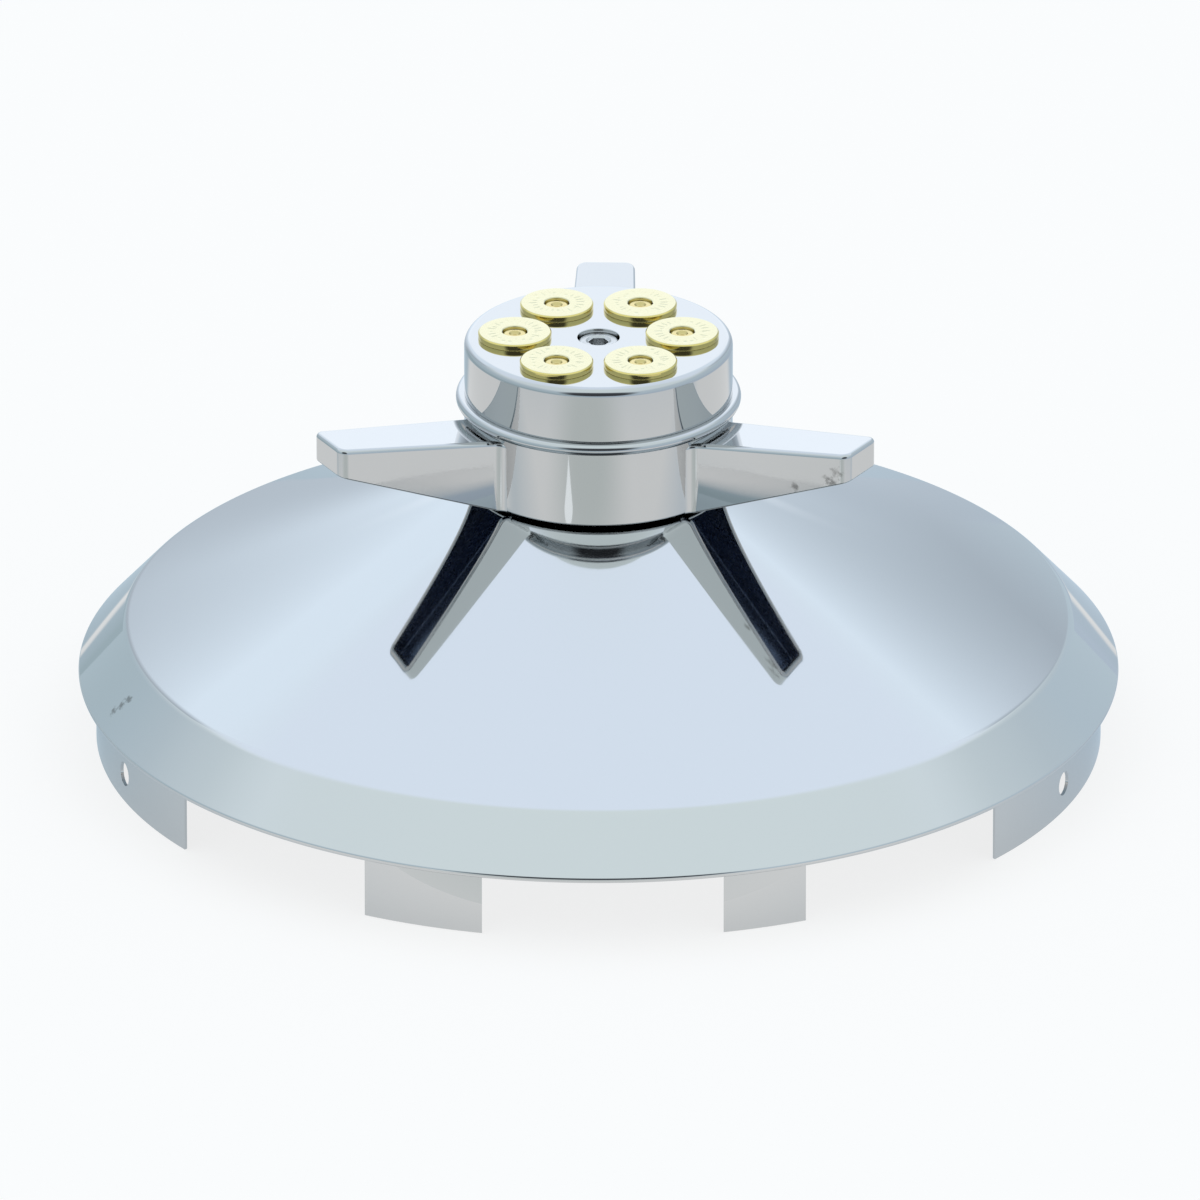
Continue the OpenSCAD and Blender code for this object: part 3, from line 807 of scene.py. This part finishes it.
# %% Cards that only mirrors see
def card(name, cloth, corners, look):
    """A glowing card; look gives its colour, and how much of it covers what is behind."""
    mesh = bmesh.new()
    mesh.faces.new([mesh.verts.new(corner) for corner in corners])
    made = as_object(name, mesh)
    finish, tree, place = new_finish(cloth)
    colour, cover = look(tree, place)
    shader = add(tree, "ShaderNodeEmission", {"Strength": LIGHT, "Color": colour})
    if cover:
        clear = add(tree, "ShaderNodeBsdfTransparent")
        shader = add(tree, "ShaderNodeMixShader", {0: cover, 1: clear, 2: shader})
    add(tree, "ShaderNodeOutputMaterial", {"Surface": shader})
    made.data.materials.append(finish)
    made.visible_camera = made.visible_diffuse = made.visible_shadow = False
    print(name, "has", len(tree.nodes), "nodes in its finish")


DULL_LEFT, DULL_RIGHT, PALE, BRIGHTEST = "#9FA9B3", "#A0ABB6", "#D4E1EE", "#EAF2FC"
GREY, BRIGHT = "#AFB5B5", "#DEE3E6"
# In metres, and in pairs from where a change starts to where it is complete
SCREEN_HALF, SCREEN_Y, SCREEN_TOP = 0.45, 0.26, 0.46
SCREEN_SIDE_FADE, SCREEN_TOP_FADE = (0.15, 0.11), (SCREEN_TOP, 0.34)
FAN_X, FAN_SPREAD = -0.03, 0.8
FAN_SIDE, FAN_FOOT, DULL_ACROSS = (0.11, -0.02), (-0.01, 0.09), (-0.05, 0.12)
HEART_SIDE, HEART_FOOT, HEART_TOP = (0.15, 0.11), (0.11, 0.15), (0.30, 0.25)
GREY_SPOT, GREY_FADE = (-0.03, -0.205, 0.0005), (0.13, 0.03)
GREY_LEFT, GREY_RIGHT, GREY_FRONT, GREY_BACK = -0.2, 0.14, -0.34, -0.118
DROP_SPOT = (-0.069, -0.158, 0.001)
DROP_R, DROP_LENGTH, DROP_TURN = 0.010, 0.030, 244


def fan(tree, place):
    """Dull at its foot and sides, pale in a fan that opens upwards, bright in its heart."""
    axes = add(tree, "ShaderNodeSeparateXYZ", {"Vector": place}).outputs
    off = add(tree, "ShaderNodeMath", {"operation": "ADD", 0: axes["X"], 1: -FAN_X})
    off = add(tree, "ShaderNodeMath", {"operation": "ABSOLUTE", 0: off})
    off = add(tree, "ShaderNodeMath", {"operation": "MULTIPLY_ADD", 0: axes["Z"],
                                       1: -FAN_SPREAD, 2: off})
    opening = add(tree, "ShaderNodeMapRange", {"From Min": FAN_SIDE[0], "From Max": FAN_SIDE[1],
                                               "Value": off})
    above_foot = within(tree, (axes["Z"], *FAN_FOOT))
    pale = add(tree, "ShaderNodeMath", {"operation": "MULTIPLY", 0: opening, 1: above_foot})
    aside = add(tree, "ShaderNodeMath", {"operation": "ABSOLUTE", 0: axes["X"]})
    heart = within(tree, (aside, *HEART_SIDE), (axes["Z"], *HEART_FOOT),
                   (axes["Z"], *HEART_TOP))
    right = within(tree, (axes["X"], *DULL_ACROSS))
    colour = DULL_LEFT
    for part, above in ((right, DULL_RIGHT), (pale, PALE), (heart, BRIGHTEST)):
        colour = add(tree, "ShaderNodeMix", {"data_type": "RGBA", FACTOR: part, BELOW: colour,
                                             ABOVE: above}).outputs[MIXED]
    return colour, within(tree, (off, *SCREEN_SIDE_FADE), (axes["Z"], *SCREEN_TOP_FADE))


def grey_spot(tree, place):
    """A grey that fades out round its middle."""
    reach = add(tree, "ShaderNodeVectorMath", {"operation": "DISTANCE", 0: place, 1: GREY_SPOT})
    return GREY, within(tree, (reach.outputs["Value"], *GREY_FADE))


def all_bright(*_):
    """One bright tone right up to its edge."""
    return BRIGHT, None


card("pale_screen", "pale screen cloth",
     [(x, SCREEN_Y, z) for x, z in ((-SCREEN_HALF, 0), (SCREEN_HALF, 0),
                                    (SCREEN_HALF, SCREEN_TOP), (-SCREEN_HALF, SCREEN_TOP))],
     fan)
card("grey_card", "grey card",
     [(x, y, GREY_SPOT[2]) for x, y in ((GREY_LEFT, GREY_FRONT), (GREY_RIGHT, GREY_FRONT),
                                        (GREY_RIGHT, GREY_BACK), (GREY_LEFT, GREY_BACK))],
     grey_spot)
drop_place = (Matrix.Translation(DROP_SPOT)
              @ Matrix.Rotation(math.radians(DROP_TURN), 4, "Z"))
drop = arc((0, 0), DROP_R, 90, 270, 9) + [(DROP_LENGTH, 0)]
card("bright_card", "bright card", [drop_place @ Vector((x, y, 0)) for x, y in drop], all_bright)

# %% [markdown]
# ## Camera
# The photograph looks down at 24 degrees through a long lens, so the rim's ellipse barely
# narrows towards the back. The focal length follows from the scale in the picture.

# %% Camera
ELEVATION = math.radians(23.9)
DISTANCE_MM = 6000
PIXELS_PER_MM = 4.63
PICTURE_PIXELS = 1200
SENSOR_MM = 36
AIM_MM = Vector((0.32, 0, 30.7))

camera = bpy.data.objects.new("camera", bpy.data.cameras.new("camera"))
bpy.context.scene.collection.objects.link(camera)
back = Vector((0, -math.cos(ELEVATION), math.sin(ELEVATION)))
camera.location = (AIM_MM + back * DISTANCE_MM) * MM
camera.rotation_euler = back.to_track_quat("Z", "Y").to_euler()
camera.data.sensor_width = SENSOR_MM
camera.data.lens = PIXELS_PER_MM * DISTANCE_MM * SENSOR_MM / PICTURE_PIXELS
camera.data.clip_end = 100
bpy.context.scene.camera = camera
print(f"lens {camera.data.lens:.0f} mm at {DISTANCE_MM / 1000} m")

# %% Update the scene
bpy.context.view_layer.update()
